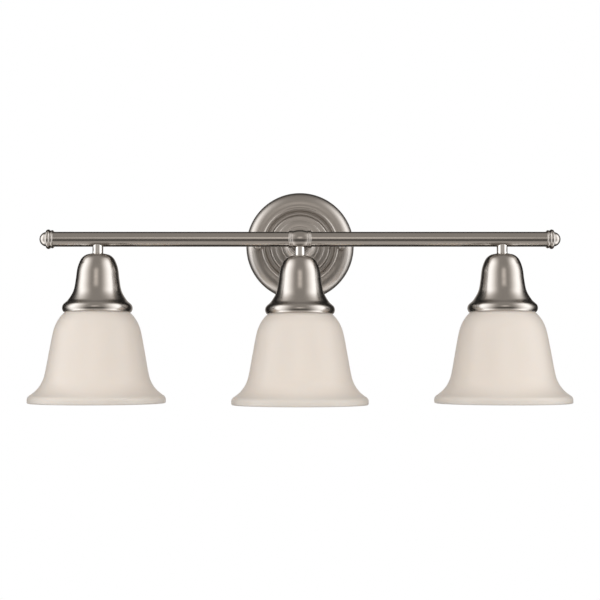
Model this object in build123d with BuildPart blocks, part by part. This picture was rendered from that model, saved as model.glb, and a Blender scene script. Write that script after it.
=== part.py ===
from build123d import *
from math import atan2, cos, sin, sqrt
import os

# Three-lamp vanity light bar. Millimetres, +Z up, +X along the bar, wall at Y = 0,
# room at -Y. The origin is the middle of the mounting strap's back face.

os.makedirs("parts", exist_ok=True)

# ---- driving dimensions ----
bar_reach = 105.0        # wall to bar axis
bar_r = 9.525            # 3/4 inch tube
bar_wall = 1.225
bar_end = 313.0          # where each tube stops inside its finial
lamp_pitch = 256.5
neck_reach = 8.9         # bar surface to the top of a fitter cup
neck_r = 6.75
pipe_r = 5.1             # threaded lamp pipe through the neck
pipe_bore = 3.4
sheet = 0.9              # spun metal
glass_wall = 3.6
canopy_r = 72.4
canopy_rise = 22.8
arm_pipe_r = 6.4
arm_pipe_bore = 4.9
arm_tube_r = 9.5
thread_gap = 0.05
stud_x = 56.2
slot_x = 39.7
wire_r = 1.0

bar_bore = bar_r - bar_wall
bar_y = -bar_reach
coupling_r = 11.8        # middle of the coupling barrel
flange_front = 44.0
boss_back = 90.0         # distance from the wall at which the coupling's rear boss ends
boss_r = 8.8             # the coupling's rear boss, behind the barrel
nut_level = -4.6         # top of the nuts inside the bar
lamp_names = {"left": -lamp_pitch, "centre": 0.0, "right": lamp_pitch}
lamp_turn = {"left": 1, "centre": 1, "right": -1}   # sockets face their wires towards the canopy
hot_stem, neutral_stem = -5.0, 11.0                 # terminals in the wiring chamber

# heights below the top of a fitter cup
socket_top = -11.6
chamber_top = -20.0
chamber_floor = -48.0
shell_top = -50.0
collar_top = -60.1
crown_top = -62.6
ring_height = 7.0
socket_mouth = -80.6
bulb_tip = -51.7
bulb_end = bulb_tip - 107.0
bulb_r = 30.0
thread_r = 19.6


def save(builder, label):
    builder.part.label = label
    export_step(builder.part, f"parts/{label}.step")


def cup_top(name):
    seat = coupling_r if name == "centre" else bar_r
    return -seat - neck_reach


def lamp_plane(name, drop=0.0):
    return Plane((lamp_names[name], bar_y, cup_top(name) + drop), x_dir=(1, 0, 0), z_dir=(0, -1, 0))


def lamp_axis(name):
    return Axis((lamp_names[name], bar_y, 0), (0, 0, 1))


def lamp_level(name, height):
    return Plane((lamp_names[name], bar_y, cup_top(name) + height))


def wall_level(depth):
    """A plane facing the room at this distance from the wall."""
    return Plane((0, -depth, 0), x_dir=(1, 0, 0), z_dir=(0, -1, 0))


def dome_middle(edge_r, height):
    """Middle of the arc of a cap of this height on this edge radius, as (radius, height)."""
    ball_r = (height**2 + edge_r**2) / (2 * height)
    half = atan2(edge_r, ball_r - height) / 2
    return ball_r * sin(half), height - ball_r + ball_r * cos(half)


bar_axis = Axis((0, bar_y, 0), (1, 0, 0))
bar_plane = Plane((0, bar_y, 0), x_dir=(1, 0, 0), z_dir=(0, -1, 0))
spin_plane = Plane((0, 0, 0), x_dir=(1, 0, 0), z_dir=(0, 0, -1))   # local y runs away from the wall
spin_axis = Axis((0, 0, 0), (0, 1, 0))


# ---- wall side ----
def make_wall_gasket():
    with BuildPart() as wall_gasket:
        with BuildSketch(wall_level(0)):
            Circle(canopy_r - 1.7)
            Circle(canopy_r - 7.0, mode=Mode.SUBTRACT)
        extrude(amount=1.5)
    save(wall_gasket, "wall_gasket")


def make_mounting_strap():
    length, width, thick = 124.0, 20.0, 2.0
    with BuildPart() as mounting_strap:
        with BuildSketch(wall_level(0)):
            Rectangle(length, width)
        extrude(amount=thick)
        fillet(mounting_strap.edges().filter_by(Axis.Y), 4.0)
        with BuildSketch(wall_level(0)):
            with Locations((-slot_x, 0), (slot_x, 0)):
                SlotOverall(17.0, 4.6)
            with Locations((-stud_x, 0), (stud_x, 0)):
                Circle(2.1)
            with Locations((16.0, -4.5)):
                Circle(2.45)
        extrude(amount=thick, mode=Mode.SUBTRACT)
        with BuildSketch(wall_level(thick)):
            with Locations((0, width / 2 - 1.2), (0, 1.2 - width / 2)):
                Rectangle(length - 24.0, 2.4)
        extrude(amount=1.6)
    save(mounting_strap, "mounting_strap")


def make_canopy_studs():
    with BuildPart() as canopy_studs:
        with BuildSketch(wall_level(0)):
            with Locations((-stud_x, 0), (stud_x, 0)):
                Circle(2.1 - thread_gap)
        extrude(amount=23.0)
        chamfer(canopy_studs.faces().sort_by(Axis.Y)[0:2].edges(), 0.5)
    save(canopy_studs, "canopy_studs")


def make_stud_nuts():
    with BuildPart() as stud_nuts:
        with BuildSketch(wall_level(2.0)):
            with Locations((-stud_x, 0), (stud_x, 0)):
                RegularPolygon(4.0, 6, major_radius=False)
                Circle(2.1, mode=Mode.SUBTRACT)
        extrude(amount=3.0)
    save(stud_nuts, "stud_nuts")


def make_ball_nuts():
    ball_r, neck, seat = 6.3, 3.0, 17.3
    centre = seat + sqrt(ball_r**2 - (neck + 0.1) ** 2)
    with BuildPart() as ball_nuts:
        for side in (-1, 1):
            axis = Axis((side * stud_x, 0, 0), (0, 1, 0))
            with BuildSketch(Plane((side * stud_x, 0, 0), x_dir=(1, 0, 0), z_dir=(0, 0, -1))):
                with BuildLine():
                    Polyline((2.1, 13.0), (neck, 13.0), (neck, centre - sqrt(ball_r**2 - neck**2)))
                    ThreePointArc(
                        (neck, centre - sqrt(ball_r**2 - neck**2)), (ball_r, centre), (0, centre + ball_r)
                    )
                    Polyline((0, centre + ball_r), (0, 24.0), (2.1, 24.0), (2.1, 13.0))
                make_face()
            revolve(axis=axis)
    save(ball_nuts, "ball_nuts")


def make_ground_screw():
    with BuildPart() as ground_screw:
        with BuildSketch(wall_level(0.2)):
            with Locations((16.0, -4.5)):
                Circle(2.4)
        extrude(amount=5.6)
        with BuildSketch(wall_level(5.8)):
            with Locations((16.0, -4.5)):
                RegularPolygon(4.0, 6, major_radius=False)
        extrude(amount=2.4)
        with BuildSketch(wall_level(8.2)):
            with Locations((16.0, -4.5)):
                Rectangle(6.0, 1.0)
        extrude(amount=-1.0, mode=Mode.SUBTRACT)
    save(ground_screw, "ground_screw")


def smooth_run(*points):
    """Arcs through each three points in turn, with a last straight stretch when one point is left."""
    for i in range(0, len(points) - 2, 2):
        ThreePointArc(*points[i:i + 3])
    if len(points) % 2 == 0:
        Line(points[-2], points[-1])


def crown_outline(rise):
    """The stepped middle of the canopy, from the cove to the centre hole, lifted by rise."""
    Line((53.4, 17.1 + rise), (51.6, 17.3 + rise))
    ThreePointArc((51.6, 17.3 + rise), (49.2, 19.5 + rise), (46.6, 17.9 + rise))
    ThreePointArc((46.6, 17.9 + rise), (43.2, 15.2 + rise), (40.2, 17.2 + rise))
    ThreePointArc((40.2, 17.2 + rise), (39.3, 19.5 + rise), (37.4, 20.4 + rise))
    Polyline(
        (37.4, 20.4 + rise), (33.0, 20.9 + rise), (32.5, 21.7 + rise), (27.5, 22.4 + rise),
        (25.5, canopy_rise + rise), (arm_pipe_r + thread_gap, canopy_rise + rise),
    )


def make_canopy():
    with BuildPart() as canopy:
        with BuildSketch(spin_plane):
            with BuildLine():
                Line((canopy_r, 0), (canopy_r, 2.2))
                ThreePointArc((canopy_r, 2.2), (67.2, 12.6), (53.4, 17.1))
                crown_outline(0)
                hole = arm_pipe_r + thread_gap
                Line((hole, canopy_rise), (hole, canopy_rise - 1.1))
                crown_outline(-1.1)
                ThreePointArc((53.4, 16.0), (66.4, 11.8), (canopy_r - 1.0, 2.2))
                Polyline((canopy_r - 1.0, 2.2), (canopy_r - 1.0, 0), (canopy_r, 0))
            make_face()
        revolve(axis=spin_axis)
        with BuildSketch(wall_level(10.0)):
            with Locations((-stud_x, 0), (stud_x, 0)):
                Circle(3.1)
        extrude(amount=12.0, mode=Mode.SUBTRACT)
    save(canopy, "canopy")


# ---- arm from the canopy to the bar ----
def make_arm_lock_washer():
    with BuildPart() as arm_lock_washer:
        with BuildSketch(wall_level(canopy_rise - 2.2)):
            Circle(10.0)
            Circle(arm_pipe_r + 0.3, mode=Mode.SUBTRACT)
            with PolarLocations(10.0, 12):
                Rectangle(1.6, 1.2, mode=Mode.SUBTRACT)
        extrude(amount=1.1)
    save(arm_lock_washer, "arm_lock_washer")


def make_arm_lock_nut():
    with BuildPart() as arm_lock_nut:
        with BuildSketch(wall_level(canopy_rise - 6.2)):
            RegularPolygon(9.5, 6, major_radius=False)
            Circle(arm_pipe_r + thread_gap, mode=Mode.SUBTRACT)
        extrude(amount=4.0)
    save(arm_lock_nut, "arm_lock_nut")


def make_arm_pipe():
    back, front = 14.0, bar_reach - bar_bore
    with BuildPart() as arm_pipe:
        with BuildSketch(wall_level(back)):
            Circle(arm_pipe_r)
            Circle(arm_pipe_bore, mode=Mode.SUBTRACT)
        extrude(amount=front - back)
        chamfer(arm_pipe.edges().filter_by(GeomType.CIRCLE).sort_by(SortBy.RADIUS)[-2:], 0.5)
    save(arm_pipe, "arm_pipe")


def make_arm_flange():
    with BuildPart() as arm_flange:
        with BuildSketch(spin_plane):
            with BuildLine():
                bore = arm_pipe_r + thread_gap
                Polyline((bore, flange_front), (bore, canopy_rise), (24.2, canopy_rise))
                ThreePointArc((24.2, canopy_rise), (25.1, canopy_rise + 1.3), (24.2, canopy_rise + 2.6))
                smooth_run((24.2, canopy_rise + 2.6), (17.2, canopy_rise + 5.6), (13.2, flange_front - 7.2))
                ThreePointArc(
                    (13.2, flange_front - 7.2), (16.2, flange_front - 4.0), (13.2, flange_front - 0.8)
                )
                Polyline((13.2, flange_front - 0.8), (12.6, flange_front), (bore, flange_front))
            make_face()
        revolve(axis=spin_axis)
    save(arm_flange, "arm_flange")


def make_arm_tube():
    with BuildPart() as arm_tube:
        with BuildSketch(wall_level(flange_front)):
            Circle(arm_tube_r)
            Circle(arm_tube_r - 1.5, mode=Mode.SUBTRACT)
        extrude(amount=boss_back - flange_front)
    save(arm_tube, "arm_tube")


# ---- bar ----
def barrel_outline():
    """Half outline of the coupling barrel with its two beads, on the bar axis."""
    Line((-14.2, 9.9), (-14.2, 10.6))
    ThreePointArc((-14.2, 10.6), (-12.9, 11.3), (-11.6, 10.6))
    ThreePointArc((-11.6, 10.6), (-10.4, 11.2), (-9.2, 10.3))
    ThreePointArc((-9.2, 10.3), (0, coupling_r), (9.2, 10.3))
    ThreePointArc((9.2, 10.3), (10.4, 11.2), (11.6, 10.6))
    ThreePointArc((11.6, 10.6), (12.9, 11.3), (14.2, 10.6))
    Line((14.2, 10.6), (14.2, 9.9))


def make_centre_coupling():
    socket_r = bar_r + thread_gap
    with BuildPart() as centre_coupling:
        with BuildSketch(bar_plane):
            with BuildLine():
                barrel_outline()
                Polyline((14.2, 9.9), (13.9, socket_r), (-13.9, socket_r), (-14.2, 9.9))
            make_face()
            with Locations((0, (bar_bore + socket_r) / 2)):
                Rectangle(18.0, socket_r - bar_bore + 0.02)
        revolve(axis=bar_axis)
        with BuildSketch(wall_level(boss_back)):
            Circle(boss_r)
        extrude(amount=bar_reach - boss_back)
        with BuildSketch(Plane((-9.0, bar_y, 0), z_dir=(1, 0, 0))):
            Circle(bar_bore)
        extrude(amount=18.0, mode=Mode.SUBTRACT)
        with BuildSketch(wall_level(boss_back)):
            Circle(arm_pipe_r + thread_gap)
        extrude(amount=bar_reach - boss_back, mode=Mode.SUBTRACT)
        with BuildSketch(Plane((0, bar_y, -14.0))):
            Circle(pipe_r + thread_gap)
        extrude(amount=14.0, mode=Mode.SUBTRACT)
    save(centre_coupling, "centre_coupling")


def make_bar_tube(name, side):
    inner_end = 9.2
    with BuildPart() as bar_tube:
        with BuildSketch(Plane((side * inner_end, bar_y, 0), z_dir=(side, 0, 0))):
            Circle(bar_r)
            Circle(bar_bore, mode=Mode.SUBTRACT)
        extrude(amount=bar_end - inner_end)
        with BuildSketch(Plane((side * lamp_pitch, bar_y, -12.0))):
            Circle(pipe_r + thread_gap)
        extrude(amount=12.0, mode=Mode.SUBTRACT)
    save(bar_tube, f"bar_tube_{name}")


def make_end_finial(name, side):
    dome_base, dome_r, dome_rise = 322.6, 9.2, 8.0
    middle_r, middle_rise = dome_middle(dome_r, dome_rise)
    with BuildPart() as end_finial:
        with BuildSketch(bar_plane):
            with BuildLine():
                Polyline((305.0, 0), (305.0, bar_bore - 0.9), (305.8, bar_bore - 0.1), (bar_end, bar_bore - 0.1))
                Polyline((bar_end, bar_bore - 0.1), (bar_end, bar_r), (bar_end - 0.4, bar_r), (bar_end - 0.4, 10.4))
                ThreePointArc((bar_end - 0.4, 10.4), (314.4, 11.6), (316.2, 10.6))
                ThreePointArc((316.2, 10.6), (316.6, 10.9), (317.0, 11.4))
                ThreePointArc((317.0, 11.4), (319.4, 12.5), (321.6, 11.4))
                Polyline((321.6, 11.4), (322.0, 9.7), (dome_base, dome_r))
                ThreePointArc((dome_base, dome_r), (dome_base + middle_rise, middle_r), (dome_base + dome_rise, 0))
                Line((dome_base + dome_rise, 0), (305.0, 0))
            make_face()
        revolve(axis=bar_axis)
        if side < 0:
            mirror(about=Plane.YZ, mode=Mode.REPLACE)
    save(end_finial, f"end_finial_{name}")


# ---- necks ----
def make_neck_pipes():
    top = nut_level - 0.1
    with BuildPart() as neck_pipes:
        for name, x in lamp_names.items():
            with BuildSketch(Plane((x, bar_y, top))):
                Circle(pipe_r)
                Circle(pipe_bore, mode=Mode.SUBTRACT)
            extrude(amount=cup_top(name) + chamber_top + 1.0 - top)
    save(neck_pipes, "neck_pipes")


def make_neck_nuts():
    """Hexagon nuts inside the bar, each turned underneath to sit on the round wall."""
    with BuildPart() as neck_nuts:
        with BuildSketch(Plane.XY.offset(-8.6)):
            with Locations(*[(x, bar_y) for x in lamp_names.values()]):
                RegularPolygon(6.2, 6, major_radius=False)
                Circle(pipe_r + thread_gap, mode=Mode.SUBTRACT)
        extrude(amount=8.6 + nut_level)
        with BuildSketch(Plane((-300, bar_y, 0), z_dir=(1, 0, 0))):
            Circle(bar_bore - 0.05)
        extrude(amount=600, mode=Mode.INTERSECT)
    save(neck_nuts, "neck_nuts")


def make_neck_sleeve(name):
    x, base = lamp_names[name], cup_top(name)
    with BuildPart() as neck_sleeve:
        with BuildSketch(Plane((x, bar_y, base))):
            Circle(neck_r)
            Circle(pipe_r + 0.3, mode=Mode.SUBTRACT)
        extrude(amount=-base - 3.0)
        with BuildSketch(bar_plane):
            with BuildLine():
                if name == "centre":
                    ThreePointArc((-9.2, 10.35), (0, coupling_r + thread_gap), (9.2, 10.35))
                    Polyline((9.2, 10.35), (9.2, 0), (-9.2, 0), (-9.2, 10.35))
                else:
                    reach = bar_r + thread_gap
                    Polyline((x - 9, 0), (x + 9, 0), (x + 9, reach), (x - 9, reach), close=True)
            make_face()
        revolve(axis=bar_axis, mode=Mode.SUBTRACT)
    save(neck_sleeve, f"neck_sleeve_{name}")


def make_fitter_nuts():
    with BuildPart() as fitter_nuts:
        for name in lamp_names:
            with BuildSketch(lamp_level(name, -sheet - 0.1)):
                RegularPolygon(8.5, 6, major_radius=False)
                Circle(pipe_r + thread_gap, mode=Mode.SUBTRACT)
            extrude(amount=-4.5)
    save(fitter_nuts, "fitter_nuts")


# ---- one lamp ----
def cup_outline(wall):
    """Outer line of the bell cup, or with a wall its inner line."""
    foot = (42.0 - 0.8 * wall, -63.7 - 0.6 * wall)
    smooth_run(
        (9.0, -wall), (15.6 - 0.3 * wall, -1.9 - wall), (21.0 - 0.8 * wall, -7.0 - 0.6 * wall),
        (25.4 - wall, -18.3), (27.5 - wall, -33.5), (30.2 - wall, -47.1),
        (36.7 - 0.8 * wall, -58.6 - 0.6 * wall), foot,
    )
    ThreePointArc(foot, (44.2 - wall, -68.6), (42.3 - wall, -74.2))


def make_fitter_cup(name):
    with BuildPart() as fitter_cup:
        with BuildSketch(lamp_plane(name)):
            with BuildLine():
                hole = pipe_r + 0.2
                Line((hole, 0), (9.0, 0))
                cup_outline(0)
                Line((42.3, -74.2), (42.3 - sheet, -74.2))
                cup_outline(sheet)
                Polyline((9.0, -sheet), (hole, -sheet), (hole, 0))
            make_face()
        revolve(axis=lamp_axis(name))
    save(fitter_cup, f"fitter_cup_{name}")


def make_socket_body(name):
    with BuildPart() as socket_body:
        with BuildSketch(lamp_plane(name)):
            with BuildLine():
                Polyline(
                    (pipe_r + thread_gap, socket_top), (13.0, socket_top), (17.0, socket_top - 4.0),
                    (17.0, -42.0), (18.6, -44.0), (18.6, collar_top), (25.0, collar_top), (25.0, crown_top),
                    (thread_r, crown_top), (thread_r, socket_mouth), (14.5, socket_mouth), (14.5, -77.6),
                    (13.95, -77.6), (13.95, shell_top), (0, shell_top), (0, chamber_floor),
                    (13.0, chamber_floor), (13.0, chamber_top), (pipe_r + thread_gap, chamber_top), close=True,
                )
            make_face()
        revolve(axis=lamp_axis(name))
        with BuildSketch(lamp_level(name, chamber_floor)):
            with Locations((lamp_turn[name] * hot_stem, 0), (lamp_turn[name] * neutral_stem, 0)):
                Circle(1.25)
        extrude(amount=-2.0, mode=Mode.SUBTRACT)
        for turn in range(5):
            with BuildSketch(lamp_level(name, crown_top - 5.0 - 2.6 * turn)):
                Circle(thread_r + 0.2)
                Circle(thread_r - 0.6, mode=Mode.SUBTRACT)
            extrude(amount=-1.2, mode=Mode.SUBTRACT)
    save(socket_body, f"socket_body_{name}")


def make_screw_shell(name):
    with BuildPart() as screw_shell:
        with BuildSketch(lamp_plane(name)):
            with BuildLine():
                Polyline(
                    (9.0, shell_top - 0.1), (13.85, shell_top - 0.1), (13.85, -77.0), (13.4, -77.0),
                    (13.4, shell_top - 0.7), (9.0, shell_top - 0.7), close=True,
                )
            make_face()
        revolve(axis=lamp_axis(name))
        with BuildSketch(lamp_level(name, shell_top - 0.5)):
            with Locations((lamp_turn[name] * neutral_stem, 0)):
                Circle(1.2)
        extrude(amount=5.5)
    save(screw_shell, f"screw_shell_{name}")


def make_socket_contact(name):
    with BuildPart() as socket_contact:
        with BuildSketch(lamp_level(name, shell_top - 0.1)):
            with Locations((lamp_turn[name] * -1.5, 0)):
                SlotOverall(10.0, 4.4)
        extrude(amount=-0.8)
        with BuildSketch(lamp_level(name, shell_top - 0.9)):
            Circle(2.0)
        extrude(amount=-0.6)
        with BuildSketch(lamp_level(name, shell_top - 0.5)):
            with Locations((lamp_turn[name] * hot_stem, 0)):
                Circle(1.2)
        extrude(amount=5.5)
    save(socket_contact, f"socket_contact_{name}")


def make_shade_ring(name):
    top = crown_top - glass_wall
    with BuildPart() as shade_ring:
        with BuildSketch(lamp_level(name, top)):
            Circle(27.5)
            Circle(thread_r + 0.3, mode=Mode.SUBTRACT)
        extrude(amount=-2.4)
        with BuildSketch(lamp_level(name, top - 2.4)):
            Circle(24.0)
            Circle(thread_r + 0.3, mode=Mode.SUBTRACT)
            with PolarLocations(24.2, 18):
                Circle(1.4, mode=Mode.SUBTRACT)
        extrude(amount=2.4 - ring_height)
    save(shade_ring, f"shade_ring_{name}")


def glass_outline(wall):
    """Outer line of the bell glass, or with a wall its inner line."""
    lean = 0.7 * wall
    foot = (82.3 - 0.6 * wall, -178.4 - 0.8 * wall)
    smooth_run(
        (27.5, crown_top - wall), (34.9 - 0.45 * wall, -66.9 - 0.9 * wall), (40.6 - lean, -73.9 - lean),
        (45.6 - lean, -79.3 - lean), (50.6 - 0.85 * wall, -87.0 - 0.5 * wall),
        (54.6 - 0.95 * wall, -97.5 - 0.3 * wall), (59.9 - wall, -124.6 - 0.1 * wall),
        (65.6 - wall, -154.9 - 0.3 * wall), (69.8 - 0.85 * wall, -165.2 - 0.5 * wall),
        (75.7 - lean, -172.9 - lean), foot,
    )
    ThreePointArc(foot, (86.1 - 0.9 * wall, -181.9 - 0.4 * wall), (86.6 - wall, -186.4))


def make_glass_shade(name):
    hole, rim = 20.6, -186.4
    with BuildPart() as glass_shade:
        with BuildSketch(lamp_plane(name)):
            with BuildLine():
                Line((hole, crown_top), (27.5, crown_top))
                glass_outline(0)
                ThreePointArc((86.6, rim), (86.6 - glass_wall / 2, rim - 2.8), (86.6 - glass_wall, rim))
                glass_outline(glass_wall)
                Polyline((27.5, crown_top - glass_wall), (hole, crown_top - glass_wall), (hole, crown_top))
            make_face()
        revolve(axis=lamp_axis(name))
    save(glass_shade, f"glass_shade_{name}")


# ---- bulb ----
def make_bulb_contact(name):
    edge_r, height = 4.6, 1.6
    middle_r, middle_rise = dome_middle(edge_r, height)
    base = bulb_tip - height
    with BuildPart() as bulb_contact:
        with BuildSketch(lamp_plane(name)):
            with BuildLine():
                Polyline((0, bulb_tip), (0, base), (edge_r, base))
                ThreePointArc((edge_r, base), (middle_r, base + middle_rise), (0, bulb_tip))
            make_face()
        revolve(axis=lamp_axis(name))
    save(bulb_contact, f"bulb_contact_{name}")


def make_bulb_insulator(name):
    with BuildPart() as bulb_insulator:
        with BuildSketch(lamp_plane(name)):
            with BuildLine():
                Polyline(
                    (0, bulb_tip - 1.6), (5.2, bulb_tip - 1.6), (10.6, bulb_tip - 4.6), (0, bulb_tip - 4.6),
                    close=True,
                )
            make_face()
        revolve(axis=lamp_axis(name))
    save(bulb_insulator, f"bulb_insulator_{name}")


def make_bulb_base(name):
    pitch, turns, start = 3.63, 5, bulb_tip - 6.0
    with BuildPart() as bulb_base:
        with BuildSketch(lamp_plane(name)):
            with BuildLine():
                Polyline((11.6, bulb_tip - 5.6), (10.8, bulb_tip - 4.7), (11.5, bulb_tip - 4.7), (12.4, start))
                for turn in range(turns):
                    top = start - pitch * turn
                    ThreePointArc((12.4, top), (13.05, top - pitch / 2), (12.4, top - pitch))
                end = start - pitch * turns
                Polyline((12.4, end), (12.4, end - 1.6), (11.6, end - 1.6), (11.6, bulb_tip - 5.6))
            make_face()
        revolve(axis=lamp_axis(name))
    save(bulb_base, f"bulb_base_{name}")


def bulb_outline(wall):
    """Outer line of the bulb's glass, or with a wall its inner line."""
    globe = bulb_r - wall
    centre = bulb_end + bulb_r
    Line((11.4 - wall, bulb_tip - 14.0), (11.4 - wall, bulb_tip - 26.2))
    smooth_run(
        (11.4 - wall, bulb_tip - 26.2), (13.2 - wall, bulb_tip - 31.0), (22.2 - wall, bulb_tip - 50.0),
        (28.2 - wall, bulb_tip - 63.5), (globe, centre),
    )
    ThreePointArc((globe, centre), (globe * sqrt(0.5), centre - globe * sqrt(0.5)), (0, centre - globe))


def make_bulb_glass(name):
    wall = 0.9
    with BuildPart() as bulb_glass:
        with BuildSketch(lamp_plane(name)):
            with BuildLine():
                bulb_outline(0)
                Line((0, bulb_end), (0, bulb_end + wall))
                bulb_outline(wall)
                Line((11.4 - wall, bulb_tip - 14.0), (11.4, bulb_tip - 14.0))
            make_face()
        revolve(axis=lamp_axis(name))
    save(bulb_glass, f"bulb_glass_{name}")


def make_bulb_stem(name):
    """Glass stem that closes the neck, with its two support wires and the filament bar."""
    with BuildPart() as bulb_stem:
        with BuildSketch(lamp_level(name, bulb_tip - 14.6)):
            Circle(10.4)
        extrude(amount=-2.0)
        with BuildSketch(lamp_level(name, bulb_tip - 16.0)):
            Circle(3.6)
        extrude(amount=-34.0, taper=2)
        with BuildSketch(lamp_level(name, bulb_tip - 48.0)):
            with Locations((-1.4, 0), (1.4, 0)):
                Rectangle(0.8, 0.8)
        extrude(amount=-18.0)
        with BuildSketch(lamp_level(name, bulb_tip - 65.4)):
            Rectangle(24.0, 0.8)
        extrude(amount=-0.8)
    save(bulb_stem, f"bulb_stem_{name}")


# ---- wiring ----
def run_wire(points, bends):
    """One insulated lead along straight runs joined by tangent arcs."""
    with BuildPart() as lead:
        with BuildLine() as route:
            FilletPolyline(*points, radius=bends)
        with BuildSketch(Plane(route.line @ 0, z_dir=route.line % 0)):
            Circle(wire_r)
        sweep()
    return lead.part


def lead_route(name, pole):
    """Points from a terminal in the socket, through neck, bar and arm, into the canopy."""
    x, base = lamp_names[name], cup_top(name)
    terminal = lamp_turn[name] * (hot_stem if pole == "hot" else neutral_stem - 0.6)
    bottom, splay, straight = base + shell_top + 5.2, base - 36.0, base - 24.0
    rise = 1 if pole == "hot" else -1
    side = -1 if name == "left" else 1
    if name == "centre":
        shift = -1.4 * rise
        level = 3.4 * rise
        lane = 0.0
        start = [(terminal, bar_y, bottom), (terminal, bar_y, splay), (0, bar_y + shift, straight)]
        middle = [(0, bar_y + shift, level)]
    else:
        lane = side * 2.6
        level = 1.5 * rise
        inner = x - 1.4 * rise * -side
        start = [(x + terminal, bar_y, bottom), (x + terminal, bar_y, splay), (inner, bar_y, straight)]
        middle = [(inner, bar_y, level), (lane, bar_y, level)]
    end = [(lane, -8.0, level), (lane, -8.0, rise * 36.0)]
    return start + middle + end


def make_leads(pole, label):
    pieces = []
    for name in lamp_names:
        points = lead_route(name, pole)
        bends = [3.0] * (len(points) - 2)
        pieces.append(run_wire(points, bends))
    with BuildPart() as leads:
        for piece in pieces:
            add(piece)
    save(leads, label)


def make_wire_nuts():
    with BuildPart() as wire_nuts:
        for side in (-1, 1):
            with BuildSketch(Plane((0, -8.0, side * 33.0), z_dir=(0, 0, side))):
                Circle(5.6)
            extrude(amount=22.0, taper=5)
            with BuildSketch(Plane((0, -8.0, side * 33.0), z_dir=(0, 0, side))):
                Circle(4.3)
            extrude(amount=14.0, mode=Mode.SUBTRACT)
    save(wire_nuts, "wire_nuts")


def make_ground_lead():
    points = [
        (16.0, -5.3, -12.5), (16.0, -5.3, -20.0), (22.0, -7.0, -29.0), (20.0, -9.0, -40.0), (13.0, -9.0, -48.0),
    ]
    piece = run_wire(points, [4.0, 8.0, 8.0])
    with BuildPart() as ground_lead:
        add(piece)
        with BuildSketch(wall_level(4.7)):
            with Locations((16.0, -4.5)):
                Circle(4.6)
                Circle(2.6, mode=Mode.SUBTRACT)
            with Locations((16.0, -10.6)):
                Rectangle(3.0, 5.0)
        extrude(amount=1.0)
    save(ground_lead, "ground_lead")


make_wall_gasket()
make_mounting_strap()
make_canopy_studs()
make_stud_nuts()
make_ball_nuts()
make_ground_screw()
make_canopy()
make_arm_lock_washer()
make_arm_lock_nut()
make_arm_pipe()
make_arm_flange()
make_arm_tube()
make_centre_coupling()
for end_name, end_side in {"left": -1, "right": 1}.items():
    make_bar_tube(end_name, end_side)
    make_end_finial(end_name, end_side)
make_neck_pipes()
make_neck_nuts()
make_fitter_nuts()
for lamp in lamp_names:
    make_neck_sleeve(lamp)
    make_fitter_cup(lamp)
    make_socket_body(lamp)
    make_screw_shell(lamp)
    make_socket_contact(lamp)
    make_shade_ring(lamp)
    make_glass_shade(lamp)
    make_bulb_contact(lamp)
    make_bulb_insulator(lamp)
    make_bulb_base(lamp)
    make_bulb_glass(lamp)
    make_bulb_stem(lamp)
make_leads("hot", "hot_leads")
make_leads("neutral", "neutral_leads")
make_wire_nuts()
make_ground_lead()
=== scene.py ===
import math

import bmesh
import bpy
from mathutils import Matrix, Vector


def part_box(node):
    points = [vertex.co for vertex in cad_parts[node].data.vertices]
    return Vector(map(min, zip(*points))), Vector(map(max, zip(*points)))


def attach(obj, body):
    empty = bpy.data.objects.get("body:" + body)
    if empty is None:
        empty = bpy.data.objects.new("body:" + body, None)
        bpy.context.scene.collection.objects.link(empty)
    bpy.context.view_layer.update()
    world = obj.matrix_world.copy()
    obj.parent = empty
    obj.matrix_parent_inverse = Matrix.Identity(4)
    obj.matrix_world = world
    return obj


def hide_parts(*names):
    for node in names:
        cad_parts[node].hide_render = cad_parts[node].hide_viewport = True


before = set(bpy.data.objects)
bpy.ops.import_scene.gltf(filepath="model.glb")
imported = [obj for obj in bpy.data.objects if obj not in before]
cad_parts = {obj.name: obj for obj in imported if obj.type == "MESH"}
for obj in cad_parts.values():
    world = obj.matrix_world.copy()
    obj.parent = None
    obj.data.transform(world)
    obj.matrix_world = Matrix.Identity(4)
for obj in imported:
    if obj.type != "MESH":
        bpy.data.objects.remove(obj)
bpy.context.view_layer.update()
print("frame loaded:", len(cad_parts), "nodes")

mm = 0.001
lampNames = ("left", "centre", "right")
tau = 2 * math.pi


# A shader value that takes Python's own operators, each of which adds one Math node.
class Wave:
    def __init__(self, tree, socket):
        self.tree, self.socket = tree, socket

    def maths(self, operation, *others, clamp=False):
        node = self.tree.nodes.new("ShaderNodeMath")
        node.operation, node.use_clamp = operation, clamp
        for slot, item in zip(node.inputs, (self,) + others):
            join(self.tree, item, slot)
        return Wave(self.tree, node.outputs[0])

    def flipped(self, operation, other):
        node = self.tree.nodes.new("ShaderNodeMath")
        node.operation = operation
        join(self.tree, other, node.inputs[0])
        join(self.tree, self, node.inputs[1])
        return Wave(self.tree, node.outputs[0])

    def __add__(self, other):
        return self.maths("ADD", other)

    def __radd__(self, other):
        return self.maths("ADD", other)

    def __sub__(self, other):
        return self.maths("SUBTRACT", other)

    def __rsub__(self, other):
        return self.flipped("SUBTRACT", other)

    def __mul__(self, other):
        return self.maths("MULTIPLY", other)

    def __rmul__(self, other):
        return self.maths("MULTIPLY", other)

    def clamp(self):
        return self.maths("ADD", 0.0, clamp=True)

    def root(self):
        return self.maths("SQRT")

    # 0 below low, 1 above high, smooth between.
    def above(self, low, high):
        node = self.tree.nodes.new("ShaderNodeMapRange")
        node.interpolation_type = "SMOOTHSTEP"
        join(self.tree, self, node.inputs["Value"])
        node.inputs["From Min"].default_value, node.inputs["From Max"].default_value = low, high
        return Wave(self.tree, node.outputs["Result"])


def join(tree, item, slot):
    if isinstance(item, Wave):
        tree.links.new(item.socket, slot)
    elif isinstance(item, bpy.types.NodeSocket):
        tree.links.new(item, slot)
    else:
        slot.default_value = item


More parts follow.
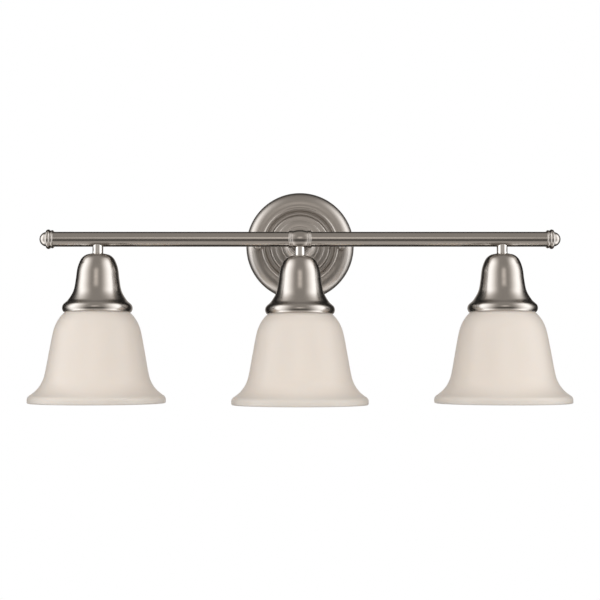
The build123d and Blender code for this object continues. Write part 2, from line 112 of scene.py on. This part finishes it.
class Finish:
    def __init__(self, name, **fixed):
        self.material = bpy.data.materials.new(name)
        self.material.use_nodes = True
        self.tree = self.material.node_tree
        self.shader = self.tree.nodes["Principled BSDF"]
        for label, number in fixed.items():
            self.shader.inputs[label.replace("_", " ")].default_value = number

    def node(self, kind, settings=None, inputs=None):
        made = self.tree.nodes.new("ShaderNode" + kind)
        for key, value in (settings or {}).items():
            setattr(made, key, value)
        for key, value in (inputs or {}).items():
            join(self.tree, value, made.inputs[key])
        return made

    # Object coordinates, whole and split into three values.
    def place(self):
        spot = self.node("TexCoord").outputs["Object"]
        parts = self.node("SeparateXYZ", inputs={"Vector": spot}).outputs
        return spot, [Wave(self.tree, part) for part in parts]

    def point(self, x, y, z):
        return self.node("CombineXYZ", inputs={"X": x, "Y": y, "Z": z}).outputs[0]

    def noise(self, spot, scale, detail=3.0, rough=0.5):
        inputs = {"Vector": spot, "Scale": scale, "Detail": detail, "Roughness": rough}
        made = self.node("TexNoise", inputs=inputs)
        return Wave(self.tree, made.outputs[0])

    def mixed(self, factor, first, second):
        made = self.node("Mix", {"data_type": "RGBA"})
        join(self.tree, factor, made.inputs[0])
        join(self.tree, first, made.inputs[6])
        join(self.tree, second, made.inputs[7])
        return made.outputs[2]

    def feed(self, label, item):
        join(self.tree, item, self.shader.inputs[label])

    def bump(self, height, strength, distance):
        made = self.node("Bump", inputs={"Height": height, "Strength": strength, "Distance": distance})
        self.tree.links.new(made.outputs[0], self.shader.inputs["Normal"])


nickelLook = {
    "colour": (0.615, 0.585, 0.555, 1), "shade": (0.55, 0.52, 0.49, 1),
    "roughness": {"up": 0.22, "along": 0.19, "out": 0.36},
    "grooves": 2600.0, "bite": {"up": 0.05, "along": 0.003, "out": 0.006}, "depth": 0.00003,
}


# Satin nickel whose fine brush lines run round the piece: lay says which way they step.
def brushedNickel(name, lay, centre=(0, 0, 0)):
    look = nickelLook
    finish = Finish(name, Metallic=1.0)
    spot, (x, y, z) = finish.place()
    if lay == "up":
        step, across = z, x - centre[0]
    elif lay == "along":
        step, across = x, z
    else:
        step, across = (x * x + z * z).root(), y
    lines = finish.noise(finish.point(step * look["grooves"], 0.0, 0.0), 1.0, 4.0, 0.7)
    drift = finish.noise(finish.point(step * 420.0, across * 14.0, y * 14.0), 1.0, 2.0)
    cloud = finish.noise(spot, 22.0, 3.0)
    blend = (cloud * 0.5 + lines * 0.5).clamp()
    finish.feed("Base Color", finish.mixed(blend, look["shade"], look["colour"]))
    finish.feed("Roughness", look["roughness"][lay] + (drift - 0.5) * 0.10 + (cloud - 0.5) * 0.06)
    finish.bump(lines, look["bite"][lay], look["depth"])
    return finish.material


def polishedNickel():
    finish = Finish("polished nickel", Metallic=1.0)
    spot, (x, y, z) = finish.place()
    cloud = finish.noise(spot, 60.0, 3.0)
    lines = finish.noise(finish.point(0.0, 0.0, z * 2400.0), 1.0, 3.0)
    finish.feed("Base Color", finish.mixed(cloud, (0.80, 0.78, 0.76, 1), (0.88, 0.87, 0.85, 1)))
    finish.feed("Roughness", 0.06 + cloud * 0.05)
    finish.bump(lines, 0.05, 0.00002)
    return finish.material


opalLook = {
    # The lip colour is the thick glass's cooler tint plus painted shade: darker than the body where the rim
    # turns down.
    "body": (0.90, 0.828, 0.762, 1), "cool": (0.885, 0.828, 0.775, 1), "lipTintAndShade": (0.80, 0.765, 0.72, 1),
    "roughness": 0.34, "lipTop": -0.192, "lipFoot": -0.205,
}


# Etched opal: milky and even; at the lip a little cooler, the thick glass's own tint, and darker, which is
# painted shade on the down-turned rim.
def opalGlass(name):
    look = opalLook
    finish = Finish(
        name, Subsurface_Weight=0.35, Subsurface_Scale=0.006, Subsurface_Radius=(1.0, 0.85, 0.7),
        IOR=1.5, Coat_Roughness=0.25,
    )
    spot, (x, y, z) = finish.place()
    cloud = finish.noise(spot, 9.0, 2.0)
    grain = finish.noise(spot, 900.0, 2.0)
    # Mask for the lip band, where painted shade and the cooler tint go into the base colour.
    lipTintAndShade = (0.0 - z).above(-look["lipTop"], -look["lipFoot"])
    body = finish.mixed(cloud, look["body"], look["cool"])
    finish.feed("Base Color", finish.mixed(lipTintAndShade, body, look["lipTintAndShade"]))
    finish.feed("Roughness", look["roughness"] + (grain - 0.5) * 0.12 + (cloud - 0.5) * 0.06)
    finish.feed("Coat Weight", 0.10 + cloud * 0.08)
    finish.bump(grain, 0.06, 0.00003)
    return finish.material


# A finish with a little mottling, uneven gloss and a fine surface.
def plain(name, colour, second, roughness, scale, metal=0.0, bite=0.1, depth=0.00005, **fixed):
    finish = Finish(name, Metallic=metal, **fixed)
    spot = finish.place()[0]
    cloud = finish.noise(spot, scale, 3.0)
    grain = finish.noise(spot, scale * 12, 2.0)
    finish.feed("Base Color", finish.mixed(cloud, colour, second))
    finish.feed("Roughness", roughness + (cloud - 0.5) * 0.12 + (grain - 0.5) * 0.05)
    finish.bump(grain, bite, depth)
    return finish.material


def zincPlate():
    finish = Finish("zinc plate", Metallic=1.0)
    spot = finish.place()[0]
    cells = finish.node("TexVoronoi", inputs={"Vector": spot, "Scale": 260.0})
    spangle = Wave(finish.tree, cells.outputs["Distance"])
    cloud = finish.noise(spot, 90.0, 3.0)
    finish.feed("Base Color", finish.mixed(cloud, (0.50, 0.52, 0.55, 1), (0.68, 0.69, 0.70, 1)))
    finish.feed("Roughness", 0.30 + spangle * 0.25)
    finish.bump(cloud, 0.10, 0.00005)
    return finish.material


def gasketFoam():
    finish = Finish("closed cell foam", Roughness=0.9)
    spot = finish.place()[0]
    cells = finish.node("TexVoronoi", inputs={"Vector": spot, "Scale": 1400.0})
    pores = Wave(finish.tree, cells.outputs["Distance"])
    finish.feed("Base Color", finish.mixed(pores, (0.02, 0.02, 0.02, 1), (0.07, 0.07, 0.07, 1)))
    finish.feed("Roughness", 0.75 + pores * 0.2)
    finish.bump(pores, 0.5, 0.0002)
    return finish.material


def lampBrass():
    finish = Finish("socket brass", Metallic=1.0)
    spot, (x, y, z) = finish.place()
    cloud = finish.noise(spot, 120.0, 4.0)
    lines = finish.noise(finish.point(0.0, 0.0, z * 2000.0), 1.0, 3.0)
    finish.feed("Base Color", finish.mixed(cloud, (0.62, 0.42, 0.16, 1), (0.82, 0.62, 0.30, 1)))
    finish.feed("Roughness", 0.20 + cloud * 0.16)
    finish.bump(lines, 0.1, 0.00003)
    return finish.material


# A smooth line through the points, each stretch a Bezier whose handles follow its neighbours.
def curved(points, steps=10):
    line = [Vector(p) for p in points]
    result = [line[0]]
    for i in range(len(line) - 1):
        before = line[max(i - 1, 0)]
        after = line[min(i + 2, len(line) - 1)]
        a, b = line[i], line[i + 1]
        span = (b - a).length
        out = (b - before).normalized() * span / 3
        back = (after - a).normalized() * span / 3
        for k in range(1, steps + 1):
            t = k / steps
            near, far = (a + out) * 3 * t * (1 - t) ** 2, (b - back) * 3 * t * t * (1 - t)
            result.append(a * (1 - t) ** 3 + near + far + b * t**3)
    return [tuple(p) for p in result]


# Points on a circle in the outline's own plane, angles in degrees.
def arc(centre, radius, start, end, steps=10):
    turns = [math.radians(start + (end - start) * k / steps) for k in range(steps + 1)]
    return [(centre[0] + radius * math.cos(t), centre[1] + radius * math.sin(t)) for t in turns]


# Spins an outline of (radius, height) pairs in millimetres about an axis through place.
def spun(name, outline, place, axis, material, body, node, rings=144, closed=True):
    radial = {"Z": Vector((1, 0, 0)), "X": Vector((0, 0, 1)), "Y": Vector((1, 0, 0))}[axis]
    along = {"Z": Vector((0, 0, 1)), "X": Vector((1, 0, 0)), "Y": Vector((0, -1, 0))}[axis]
    work = bmesh.new()
    dots = [work.verts.new(Vector(place) + (radial * r + along * h) * mm) for r, h in outline]
    pairs = list(zip(dots, dots[1:])) + ([(dots[-1], dots[0])] if closed else [])
    edges = [work.edges.new(pair) for pair in pairs]
    bmesh.ops.spin(
        work, geom=dots + edges, cent=place, axis=along, angle=tau, steps=rings,
        use_merge=True, use_duplicate=False,
    )
    bmesh.ops.remove_doubles(work, verts=work.verts, dist=2e-6)
    bmesh.ops.dissolve_degenerate(work, edges=work.edges, dist=1e-7)
    bmesh.ops.recalc_face_normals(work, faces=work.faces)
    return finished(name, work, material, body, node)


def finished(name, work, material, body, nodes, crease=38):
    mesh = bpy.data.meshes.new(name)
    work.to_mesh(mesh)
    work.free()
    mesh.shade_smooth()
    mesh.set_sharp_from_angle(angle=math.radians(crease))
    mesh.materials.append(material)
    piece = bpy.data.objects.new(name, mesh)
    bpy.context.scene.collection.objects.link(piece)
    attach(piece, body)
    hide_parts(*([nodes] if isinstance(nodes, str) else nodes))
    return piece


def lampSpot(name, z=0.0):
    low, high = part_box("fitter_cup_" + name)
    return Vector(((low.x + high.x) / 2, (low.y + high.y) / 2, high.z + z))


barLow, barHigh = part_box("bar_tube_left")
barAxis = Vector((0, (barLow.y + barHigh.y) / 2, (barLow.z + barHigh.z) / 2))


# Points on the circle through three points, from the first to the last.
def bow(a, b, c, steps=12):
    (ax, ay), (bx, by), (cx, cy) = a, b, c
    d = 2 * (ax * (by - cy) + bx * (cy - ay) + cx * (ay - by))
    sa, sb, sc = ax * ax + ay * ay, bx * bx + by * by, cx * cx + cy * cy
    ux = (sa * (by - cy) + sb * (cy - ay) + sc * (ay - by)) / d
    uy = (sa * (cx - bx) + sb * (ax - cx) + sc * (bx - ax)) / d
    first, middle, last = (math.degrees(math.atan2(p[1] - uy, p[0] - ux)) for p in (a, b, c))
    sweep = (last - first) % 360
    if (middle - first) % 360 > sweep:
        sweep -= 360
    return arc((ux, uy), math.hypot(ax - ux, ay - uy), first, first + sweep, steps)


# Heights here and below are millimetres from the top of the lamp's cup; the first of a pair is a radius.
shadeSize = {"wall": 3.6, "hole": 20.6, "crown": -62.6, "rim": -186.4, "rings": 128}


def shadeLine(wall):
    size = shadeSize
    lean = 0.7 * wall
    body = curved([
        (27.5, size["crown"] - wall), (34.9 - 0.45 * wall, -66.9 - 0.9 * wall), (40.6 - lean, -73.9 - lean),
        (45.6 - lean, -79.3 - lean), (50.6 - 0.85 * wall, -87.0 - 0.5 * wall),
        (54.6 - 0.95 * wall, -97.5 - 0.3 * wall), (59.9 - wall, -124.6 - 0.1 * wall),
        (65.6 - wall, -154.9 - 0.3 * wall), (69.8 - 0.85 * wall, -165.2 - 0.5 * wall),
        (75.7 - lean, -172.9 - lean), (82.3 - 0.6 * wall, -178.4 - 0.8 * wall),
    ], 7)
    return body + bow(body[-1], (86.1 - 0.9 * wall, -181.9 - 0.4 * wall), (86.6 - wall, size["rim"]), 6)[1:]


def makeShade(name):
    size = shadeSize
    wall, rim = size["wall"], size["rim"]
    foot = bow((86.6, rim), (86.6 - wall / 2, rim - 2.8), (86.6 - wall, rim), 10)
    outline = [(size["hole"] + 0.5, size["crown"])] + shadeLine(0) + foot[1:-1] + shadeLine(wall)[::-1]
    outline += [(size["hole"] + 0.5, size["crown"] - wall), (size["hole"], size["crown"] - wall + 0.6)]
    outline += [(size["hole"], size["crown"] - 0.6)]
    return spun(
        "opal_shade_" + name, outline, lampSpot(name), "Z", opalGlass("opal glass " + name),
        "shade_" + name, "glass_shade_" + name, rings=size["rings"],
    )


cupSize = {"sheet": 0.9, "hole": 5.3, "rings": 128}


def cupLine(wall):
    shoulder = curved([
        (9.0, -wall), (15.6 - 0.3 * wall, -1.9 - wall), (21.0 - 0.8 * wall, -7.0 - 0.6 * wall),
        (25.4 - wall, -18.3), (27.5 - wall, -33.5), (30.2 - wall, -47.1),
        (36.7 - 0.8 * wall, -58.6 - 0.6 * wall), (42.0 - 0.8 * wall, -63.7 - 0.6 * wall),
    ], 9)
    return shoulder + bow(shoulder[-1], (44.2 - wall, -68.6), (42.3 - wall, -74.0), 14)[1:]


def makeCup(name):
    sheet, hole = cupSize["sheet"], cupSize["hole"]
    edge = bow((42.3, -74.0), (42.3 - sheet / 2, -74.19), (42.3 - sheet, -74.0), 4)
    outline = [(hole, 0.0)] + cupLine(0) + edge[1:-1] + cupLine(sheet)[::-1] + [(hole, -sheet)]
    return spun(
        "bell_cup_" + name, outline, lampSpot(name), "Z", cupNickel, "root", "fitter_cup_" + name,
        rings=cupSize["rings"],
    )


sleeveSize = {"bore": 5.4, "chamfer": 0.5, "rings": 80}


def makeSleeve(name):
    low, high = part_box("neck_sleeve_" + name)
    length = (high.z - low.z) / mm
    outer, bore, chamfer = (high.x - low.x) / 2 / mm, sleeveSize["bore"], sleeveSize["chamfer"]
    outline = [(bore, 0.0), (outer - chamfer, 0.0), (outer, chamfer), (outer, length), (bore, length)]
    return spun("neck_" + name, outline, lampSpot(name), "Z", neckNickel, "root", "neck_sleeve_" + name,
                rings=sleeveSize["rings"])


canopySize = {"radius": 72.4, "rise": 22.8, "sheet": 1.1, "hole": 6.45, "rings": 144}


def crownLine(lift):
    rise, hole = canopySize["rise"] + lift, canopySize["hole"]
    points = [(53.4, 17.1 + lift), (51.6, 17.3 + lift)]
    points += bow((51.6, 17.3 + lift), (49.2, 19.5 + lift), (46.6, 17.9 + lift))[1:]
    points += bow((46.6, 17.9 + lift), (43.2, 15.2 + lift), (40.2, 17.2 + lift))[1:]
    points += bow((40.2, 17.2 + lift), (39.3, 19.5 + lift), (37.4, 20.4 + lift), 6)[1:]
    points += [(33.3, 20.85 + lift), (32.9, 21.0 + lift), (32.6, 21.5 + lift), (32.2, 21.75 + lift)]
    return points + [(27.5, 22.4 + lift), (25.5, rise), (hole, rise)]


def makeCanopy():
    size = canopySize
    cove = bow((size["radius"], 2.2), (67.2, 12.6), (53.4, 17.1), 26)
    back = bow((53.4, 16.0), (66.4, 11.8), (size["radius"] - 1.0, 2.2), 20)
    outline = [(size["radius"] - 0.3, 0.0), (size["radius"], 0.3)] + cove[:-1] + crownLine(0)
    outline += crownLine(-size["sheet"])[::-1] + back[1:] + [(size["radius"] - 1.0, 0.0)]
    return spun("stepped_canopy", outline, (0, 0, 0), "Y", canopyNickel, "root", "canopy",
                rings=size["rings"])


flangeSize = {
    "front": 44.0, "bore": 6.5, "base": 24.2, "rim": 25.1, "waist": 13.2, "collar": 16.2, "rings": 112,
}


def makeFlange():
    size, rise = flangeSize, canopySize["rise"]
    front, bore, base, waist = size["front"], size["bore"], size["base"], size["waist"]
    rim = bow((base, rise), (size["rim"], rise + 1.3), (base, rise + 2.6), 8)
    trumpet = bow((base, rise + 2.6), (base - 7.0, rise + 5.6), (waist, front - 7.2), 20)
    collar = bow((waist, front - 7.2), (size["collar"], front - 4.0), (waist, front - 0.8), 14)
    outline = [(bore, rise)] + rim + trumpet[1:] + collar[1:] + [(waist - 0.6, front), (bore, front)]
    return spun("arm_trumpet", outline, (0, 0, 0), "Y", canopyNickel, "root", "arm_flange",
                rings=size["rings"])


tubeSize = {"armWall": 1.5, "barWall": 1.2, "rings": 80}


def makeArm():
    low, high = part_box("arm_tube")
    radius = (high.x - low.x) / 2 / mm
    bore = radius - tubeSize["armWall"]
    outline = [(bore, -high.y / mm), (radius, -high.y / mm), (radius, -low.y / mm), (bore, -low.y / mm)]
    return spun("arm", outline, (0, 0, 0), "Y", canopyNickel, "root", "arm_tube",
                rings=tubeSize["rings"])


def makeBarHalf(name):
    low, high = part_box("bar_tube_" + name)
    radius = (high.z - low.z) / 2 / mm
    bore, west, east = radius - tubeSize["barWall"], low.x / mm, high.x / mm
    outline = [(bore, west), (radius, west), (radius, east), (bore, east)]
    return spun("bar_" + name, outline, barAxis, "X", barNickel, "root", "bar_tube_" + name,
                rings=tubeSize["rings"])


couplingSize = {"middle": 11.8, "bore": 9.6, "rings": 96}


def makeCoupling():
    middle, bore = couplingSize["middle"], couplingSize["bore"]
    half = [(bore, 13.9), (9.9, 14.2), (10.6, 14.2)]
    half += bow((10.6, 14.2), (11.3, 12.9), (10.6, 11.6), 12)[1:]
    half += bow((10.6, 11.6), (11.2, 10.4), (10.3, 9.2), 12)[1:]
    barrel = bow((10.3, 9.2), (middle, 0.0), (10.3, -9.2), 24)
    mirrored = [(r, -x) for r, x in half[::-1]]
    return spun("bar_coupling", half + barrel[1:-1] + mirrored, barAxis, "X", barNickel, "root",
                "centre_coupling", rings=couplingSize["rings"])


# The plug sits in the tube; then come a small bead, a large bead and a ball end.
finialSize = {"barEnd": 313.0, "plug": 8.1, "tube": 9.525, "ballFoot": 9.2, "ballRise": 8.0, "rings": 80}


def makeFinial(name, side):
    size = finialSize
    end, foot, rise = size["barEnd"], size["ballFoot"], size["ballRise"]
    plug, tube = size["plug"], size["tube"]
    points = [(plug, end - 8.0), (plug + 0.1, end), (tube, end), (tube, end - 0.4)]
    points += bow((10.4, end - 0.4), (11.6, end + 1.4), (10.6, end + 3.2), 12)
    points += bow((10.6, end + 3.2), (10.9, end + 3.6), (11.4, end + 4.0), 4)[1:]
    points += bow((11.4, end + 4.0), (12.5, end + 6.4), (11.4, end + 8.6), 14)[1:]
    points += [(foot + 0.5, end + 9.0), (foot, end + 9.6)]
    ball = (rise**2 + foot**2) / (2 * rise)
    start = math.degrees(math.atan2(foot, ball - rise))
    points += [(r, x) for x, r in arc((end + 9.6 + rise - ball, 0.0), ball, start, 0.0, 16)][1:]
    points += [(0.0, end - 8.0)]
    outline = [(max(r, 0.0), side * x) for r, x in points]
    return spun("finial_" + name, outline, barAxis, "X", barNickel, "root", "end_finial_" + name,
                rings=size["rings"])


knobSize = {"ball": 6.3, "neck": 3.0, "seat": 17.3, "bore": 2.1, "boreEnd": 24.0, "foot": 13.0, "rings": 64}


def makeBallNuts():
    size = knobSize
    ball, neck, seat, bore = size["ball"], size["neck"], size["seat"], size["bore"]
    middle = seat + math.sqrt(ball**2 - (neck + 0.1) ** 2)
    low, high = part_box("ball_nuts")
    work = bmesh.new()
    for side in (-1, 1):
        x = side * (high.x - ball * mm)
        start = math.degrees(-math.asin(math.sqrt(ball**2 - neck**2) / ball))
        line = [(bore, size["foot"]), (neck, size["foot"])] + arc((0.0, middle), ball, start, 90.0, 28)
        line = [(max(r, 0.0), h) for r, h in line] + [(0.0, size["boreEnd"]), (bore, size["boreEnd"])]
        dots = [work.verts.new(Vector((x + r * mm, -h * mm, 0))) for r, h in line]
        edges = [work.edges.new(pair) for pair in zip(dots, dots[1:] + dots[:1])]
        bmesh.ops.spin(
            work, geom=dots + edges, cent=(x, 0, 0), axis=(0, -1, 0), angle=tau, steps=size["rings"],
            use_merge=True, use_duplicate=False,
        )
    bmesh.ops.remove_doubles(work, verts=work.verts, dist=2e-6)
    bmesh.ops.recalc_face_normals(work, faces=work.faces)
    return finished("ball_knobs", work, canopyNickel, "root", "ball_nuts")


bulbSize = {"tip": -51.7, "end": -158.7, "globe": 30.0, "neck": 11.4, "wall": 0.9, "rings": 80}


def bulbLine(inset):
    tip, neck = bulbSize["tip"], bulbSize["neck"] - inset
    globe, centre = bulbSize["globe"] - inset, bulbSize["end"] + bulbSize["globe"]
    shoulder = [(neck, tip - 26.2), (neck + 1.8, tip - 31.0), (neck + 10.8, tip - 50.0)]
    shoulder += [(neck + 16.8, tip - 63.5), (globe, centre)]
    return [(neck, tip - 14.0)] + curved(shoulder, 7)[:-1] + arc((0.0, centre), globe, 0.0, -90.0, 20)


def makeBulb(name):
    outline = [(max(r, 0.0), h) for r, h in bulbLine(0) + bulbLine(bulbSize["wall"])[::-1]]
    return spun("bulb_globe_" + name, outline, lampSpot(name), "Z", frostedGlass, "bulb_" + name,
                "bulb_glass_" + name, rings=bulbSize["rings"])


cupNickel = brushedNickel("brushed nickel turned upright", "up")
barNickel = brushedNickel("brushed nickel turned along", "along")
canopyNickel = brushedNickel("brushed nickel turned flat", "out")
neckNickel = polishedNickel()
frostedGlass = plain("frosted bulb glass", (0.93, 0.91, 0.87, 1), (0.90, 0.88, 0.84, 1), 0.38, 30.0,
                     Subsurface_Weight=0.25, Subsurface_Scale=0.003)
print("finishes made")

for lamp in lampNames:
    makeShade(lamp)
    makeCup(lamp)
    makeSleeve(lamp)
    makeBulb(lamp)
for half, way in (("left", -1), ("right", 1)):
    makeBarHalf(half)
    makeFinial(half, way)
makeCoupling()
makeCanopy()
makeFlange()
makeArm()
makeBallNuts()
print("pieces made")

zinc = zincPlate()
brass = lampBrass()
nodeFinishes = {
    "wall_gasket": gasketFoam(),
    "mounting_strap": zinc, "canopy_studs": zinc, "stud_nuts": zinc, "arm_lock_nut": zinc,
    "arm_lock_washer": zinc, "arm_pipe": zinc, "neck_pipes": zinc, "neck_nuts": zinc, "fitter_nuts": zinc,
    "ground_screw": plain("green dyed zinc", (0.03, 0.26, 0.09, 1), (0.06, 0.36, 0.14, 1), 0.3, 150.0, 0.8),
    "ground_lead": plain("bare copper", (0.62, 0.27, 0.14, 1), (0.80, 0.42, 0.26, 1), 0.26, 220.0, 1.0),
    "hot_leads": plain("black insulation", (0.012, 0.012, 0.013, 1), (0.03, 0.03, 0.03, 1), 0.42, 300.0),
    "neutral_leads": plain("white insulation", (0.72, 0.72, 0.68, 1), (0.80, 0.79, 0.76, 1), 0.42, 300.0),
    "wire_nuts": plain("orange wire nut", (0.70, 0.22, 0.03, 1), (0.80, 0.30, 0.05, 1), 0.45, 200.0, bite=0.3),
}
porcelain = plain("glazed porcelain", (0.80, 0.79, 0.75, 1), (0.86, 0.85, 0.82, 1), 0.14, 60.0,
                  Coat_Weight=0.5, Coat_Roughness=0.05)
phenolic = plain("white phenolic", (0.74, 0.72, 0.67, 1), (0.80, 0.78, 0.73, 1), 0.30, 120.0)
shellMetal = plain("bulb shell", (0.62, 0.62, 0.60, 1), (0.76, 0.76, 0.74, 1), 0.24, 200.0, 1.0)
blackGlass = plain("black glass", (0.012, 0.01, 0.016, 1), (0.03, 0.025, 0.04, 1), 0.10, 90.0)
solder = plain("solder", (0.50, 0.50, 0.51, 1), (0.64, 0.64, 0.64, 1), 0.36, 400.0, 1.0)
clearGlass = plain("clear glass", (0.92, 0.94, 0.94, 1), (0.96, 0.97, 0.97, 1), 0.06, 40.0, Alpha=0.45)
for lamp in lampNames:
    nodeFinishes["socket_body_" + lamp] = porcelain
    nodeFinishes["screw_shell_" + lamp] = brass
    nodeFinishes["socket_contact_" + lamp] = brass
    nodeFinishes["shade_ring_" + lamp] = phenolic
    nodeFinishes["bulb_base_" + lamp] = shellMetal
    nodeFinishes["bulb_insulator_" + lamp] = blackGlass
    nodeFinishes["bulb_contact_" + lamp] = solder
    nodeFinishes["bulb_stem_" + lamp] = clearGlass
for node, material in nodeFinishes.items():
    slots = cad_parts[node].material_slots
    for slot in slots:
        slot.material = material
print("finishes on", len(nodeFinishes), "nodes")

studio = {
    "floorDrop": 1.6, "floorSide": 10.0, "air": 0.33, "cameraBack": 1.65, "cameraDrop": 0.157, "tilt": 2.77,
    "lens": 36 * 1304 / 600,
}
bpy.ops.mesh.primitive_plane_add(size=studio["floorSide"], location=(0, 0, -studio["floorDrop"]))
floor = bpy.context.active_object
floor.name = "floor"
floor.data.materials.append(plain("pale floor", (0.82, 0.81, 0.80, 1), (0.86, 0.85, 0.84, 1), 0.6, 3.0))
floor.visible_glossy = False

cameraData = bpy.data.cameras.new("camera")
cameraData.lens, cameraData.sensor_width = studio["lens"], 36.0
camera = bpy.data.objects.new("camera", cameraData)
camera.location = (0.0, barAxis.y - studio["cameraBack"], barAxis.z - studio["cameraDrop"])
camera.rotation_euler = (math.radians(90 + studio["tilt"]), 0, 0)
bpy.context.scene.collection.objects.link(camera)
bpy.context.scene.camera = camera

softLights = {
    # name: place, aim, width, height, watts, colour
    "left box": ((-1.5, -1.2, 0.1), (0, -0.1, -0.1), 1.0, 1.4, 13.5, (1.0, 0.99, 0.98)),
    "right box": ((1.5, -1.2, 0.1), (0, -0.1, -0.1), 1.0, 1.4, 13.5, (1.0, 0.99, 0.98)),
    "front wash": ((0, -2.6, 0.5), (0, -0.1, -0.1), 2.0, 1.2, 8.0, (1.0, 0.92, 0.86)),
    "top wash": ((0, -0.5, 1.6), (0, -0.1, -0.1), 2.0, 1.4, 4.0, (1.0, 0.97, 0.94)),
}
for label, (place, aim, width, height, watts, colour) in softLights.items():
    data = bpy.data.lights.new(label, "AREA")
    data.shape, data.size, data.size_y, data.energy, data.color = "RECTANGLE", width, height, watts, colour
    light = bpy.data.objects.new(label, data)
    light.location = place
    light.rotation_euler = (Vector(aim) - Vector(place)).to_track_quat("-Z", "Y").to_euler()
    light.visible_glossy = False
    bpy.context.scene.collection.objects.link(light)

# What the metal mirrors: a grey room, a bright band above the horizon and a dark one below it,
# and a tall soft box on each side.
world = bpy.data.worlds.new("studio")
bpy.context.scene.world = world
world.use_nodes = True
sky = world.node_tree
sky.nodes.clear()


def skyNode(kind, **settings):
    made = sky.nodes.new("ShaderNode" + kind)
    for key, value in settings.items():
        setattr(made, key, value)
    return made


mirror = {
    "room": 0.34, "roomTint": (1.0, 0.93, 0.86), "back": 0.02, "band": 0.62, "darkBand": -0.25,
    "box": 1.55, "low": 0.16, "rear": 0.4,
    "shadeDim": 0.85,
}
coord = skyNode("TexCoord")
split = skyNode("SeparateXYZ")
sky.links.new(coord.outputs["Generated"], split.inputs[0])
dx, dy, dz = (Wave(sky, part) for part in split.outputs)
front = (0.0 - dy).above(-0.62, 0.02)
turn = (dx * dx).root().maths("ARCTAN2", 0.0 - dy) * (180 / math.pi)
band = dz.above(0.06, 0.19) * (1.0 - dz.above(0.34, 0.50)) * (1.0 - turn.above(4.0, 16.0))
dark = (1.0 - dz.above(-0.12, 0.06)) * dz.above(-0.66, -0.42)
low = 1.0 - dz.above(-0.74, -0.50)
box = turn.above(22.0, 82.0) * (1.0 - turn.above(84.0, 128.0))
box = box * dz.above(-0.97, -0.70) * (1.0 - dz.above(0.60, 0.97))
level = mirror["room"] + band * mirror["band"] + dark * mirror["darkBand"]
level = level + low * mirror["low"] + box * mirror["box"]
behind = dy.above(0.0, 0.28) * (1.0 - dz.above(-0.92, -0.70))
rear = dy.above(0.84, 0.97) * mirror["rear"]
level = level * front * (1.0 - behind * mirror["shadeDim"]) + rear + mirror["back"]
lightPath = skyNode("LightPath")
mirrorLight = skyNode("Background")
join(sky, level, mirrorLight.inputs["Strength"])
tint = skyNode("Mix", data_type="RGBA")
join(sky, box.clamp(), tint.inputs[0])
tint.inputs[6].default_value = (*mirror["roomTint"], 1)
tint.inputs[7].default_value = (1, 1, 1, 1)
sky.links.new(tint.outputs[2], mirrorLight.inputs["Color"])
airLight = skyNode("Background")
airLight.inputs["Color"].default_value = (1.0, 0.93, 0.86, 1)
airLight.inputs["Strength"].default_value = studio["air"]
paper = skyNode("Background")
paper.inputs["Color"].default_value = (1, 1, 1, 1)
paper.inputs["Strength"].default_value = 1.0
lower = skyNode("MixShader")
upper = skyNode("MixShader")
end = skyNode("OutputWorld")
sky.links.new(lightPath.outputs["Is Glossy Ray"], lower.inputs[0])
sky.links.new(airLight.outputs[0], lower.inputs[1])
sky.links.new(mirrorLight.outputs[0], lower.inputs[2])
sky.links.new(lightPath.outputs["Is Camera Ray"], upper.inputs[0])
sky.links.new(lower.outputs[0], upper.inputs[1])
sky.links.new(paper.outputs[0], upper.inputs[2])
sky.links.new(upper.outputs[0], end.inputs[0])

view = bpy.context.scene.view_settings
view.view_transform, view.look, view.exposure, view.gamma = "Standard", "None", 0.0, 1.0
bpy.context.scene.cycles.use_denoising = True
print("studio ready")
